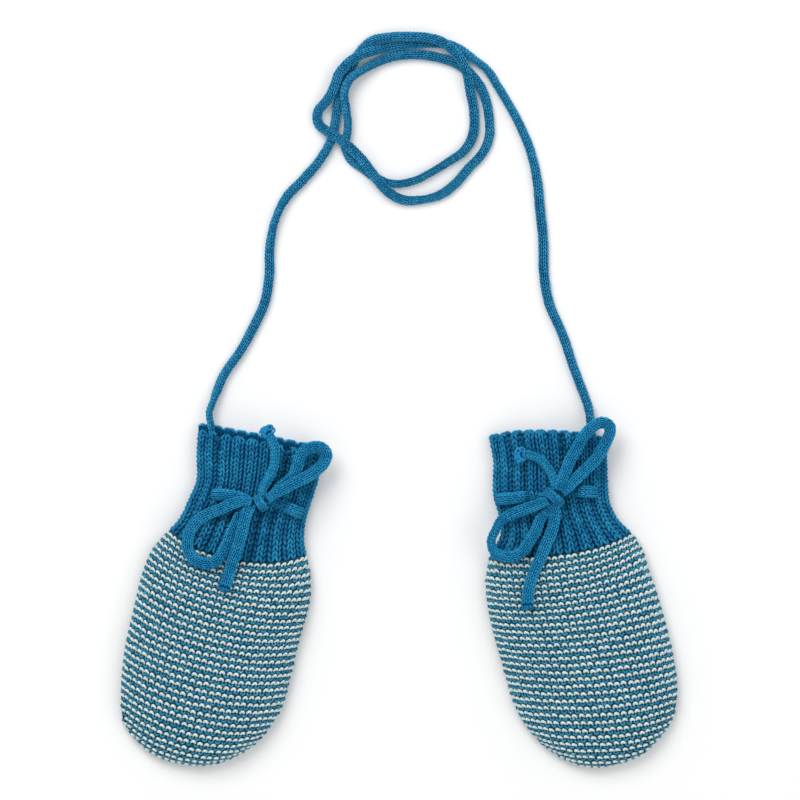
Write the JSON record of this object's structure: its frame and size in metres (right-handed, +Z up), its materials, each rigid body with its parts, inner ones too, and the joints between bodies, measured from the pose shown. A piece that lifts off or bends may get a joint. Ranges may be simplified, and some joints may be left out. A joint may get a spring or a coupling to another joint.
{
  "type": "pair of knitted baby mittens on a neck cord",
  "caption": "Thumbless knitted baby mittens with ribbed cuffs, drawstring bows and a long looped neck cord, laid flat.",
  "frame": {"origin": "on the surface, under the middle of the two mittens", "axes": "+X from the left mitten to the right one, +Y from the finger tips to the cuffs, +Z up from the surface"},
  "size_m": [0.2239, 0.2937, 0.0209],
  "materials": {
    "cuff_rib": "2x2 rib knit in teal blue yarn",
    "hand_tweed": "two-colour garter tweed, cream and blue yarn",
    "cord_knit": "fine tubular knit cord in teal blue yarn"
  },
  "bodies": {
    "root": {"left_cuff_front": "cuff_rib", "left_cuff_back": "cuff_rib", "left_hand_front": "hand_tweed", "left_hand_back": "hand_tweed", "right_cuff_front": "cuff_rib", "right_cuff_back": "cuff_rib", "right_hand_front": "hand_tweed", "right_hand_back": "hand_tweed", "left_loop_up": "cord_knit", "left_loop_down": "cord_knit", "left_string_up": "cord_knit", "left_string_down": "cord_knit", "left_knot": "cord_knit", "right_loop_up": "cord_knit", "right_loop_down": "cord_knit", "right_string_up": "cord_knit", "right_string_down": "cord_knit", "right_knot": "cord_knit", "neck_cord": "cord_knit"}
  },
  "joints": []
}
